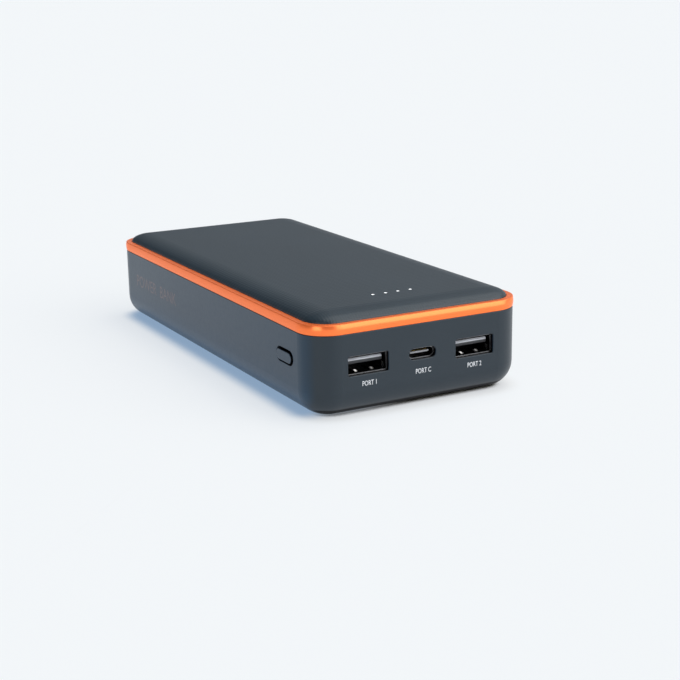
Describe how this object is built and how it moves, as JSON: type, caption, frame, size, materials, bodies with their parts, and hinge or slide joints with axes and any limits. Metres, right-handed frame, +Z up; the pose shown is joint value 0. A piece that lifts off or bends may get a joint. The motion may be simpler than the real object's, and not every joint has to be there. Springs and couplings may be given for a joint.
{
  "type": "power bank",
  "caption": "Flat rectangular power bank with rounded edges, an orange trim ring, a pillow-edged top, USB ports on one end and a side button.",
  "frame": {"origin": "centre of the footprint, on the surface that the case lies on", "axes": "+Z up through the top cover; +Y along the length, away from the port end; the button is on the -X side"},
  "size_m": [0.0728, 0.1572, 0.0307],
  "materials": {
    "shell_plastic": "fine satin texture, dark slate grey",
    "trim_metal": "anodised orange, satin",
    "cover_plastic": "very fine ribbed texture, dark slate grey",
    "button_plastic": "fine satin, dark slate grey",
    "clear_plastic": "milky clear, polished tips",
    "switch_black": "moulded, matt black",
    "switch_white": "moulded, ivory",
    "spring_steel": "stainless sheet",
    "port_steel": "nickel-plated sheet",
    "port_plastic": "moulded, light grey",
    "port_plastic_dark": "moulded, grey",
    "gold": "gold plated",
    "board": "green solder mask over glass laminate",
    "screw_steel": "zinc plated",
    "led_body": "clear epoxy over a white base",
    "ferrite": "pressed ferrite powder, dark grey",
    "chip_black": "moulded, matt black",
    "can_metal": "drawn can",
    "ceramic_tan": "fired ceramic with tinned ends",
    "resistor_black": "glazed, with tinned ends",
    "cell_foil": "laminated pouch foil",
    "nickel": "nickel strip",
    "tab_aluminium": "bare sheet",
    "red_insulation": "silicone",
    "black_insulation": "silicone",
    "adhesive": "double-sided tissue tape",
    "foam": "closed-cell foam",
    "fish_paper": "pressed insulating paper",
    "solder": "soft solder"
  },
  "bodies": {
    "housing": {"lower_shell": "shell_plastic", "trim_ring": "trim_metal", "top_cover": "cover_plastic", "light_guide": "clear_plastic", "switch_base": "switch_black", "switch_frame": "spring_steel", "switch_dome": "spring_steel", "usb_a_left_shell": "port_steel", "usb_a_right_shell": "port_steel", "usb_c_shell": "port_steel", "usb_a_left_tongue": "port_plastic", "usb_a_right_tongue": "port_plastic", "usb_c_tongue": "port_plastic_dark", "usb_a_left_contacts": "gold", "usb_a_right_contacts": "gold", "usb_c_contacts": "gold", "circuit_board": "board", "board_screws": "screw_steel", "indicator_leds": "led_body", "power_inductors": "ferrite", "controller_chip": "chip_black", "power_transistors": "chip_black", "polymer_capacitors": "can_metal", "ceramic_capacitors": "ceramic_tan", "chip_resistors": "resistor_black", "battery_cell_lower": "cell_foil", "battery_cell_middle": "cell_foil", "battery_cell_upper": "cell_foil", "positive_bus_strip": "nickel", "negative_bus_strip": "nickel", "negative_tabs": "nickel", "positive_tabs": "tab_aluminium", "positive_lead": "red_insulation", "negative_lead": "black_insulation", "adhesive_sheets": "adhesive", "base_foam_pad": "foam", "top_foam_pad": "foam", "insulation_sheet": "fish_paper", "solder_joints": "solder"},
    "button": {"power_button": "button_plastic"},
    "plunger": {"switch_plunger": "switch_white"}
  },
  "joints": [
    {"name": "power_button_press", "type": "slide", "parent": "housing", "child": "button", "axis": [1, 0, 0], "range_m": [0, 0.0004], "stiffness_N_per_m": 1500, "springref_m": -0.0005},
    {"name": "switch_plunger_press", "type": "slide", "parent": "housing", "child": "plunger", "axis": [1, 0, 0], "range_m": [0, 0.0004]}
  ],
  "couplings": [
    {"joint": "switch_plunger_press", "follows": "power_button_press", "ratio": 1}
  ]
}
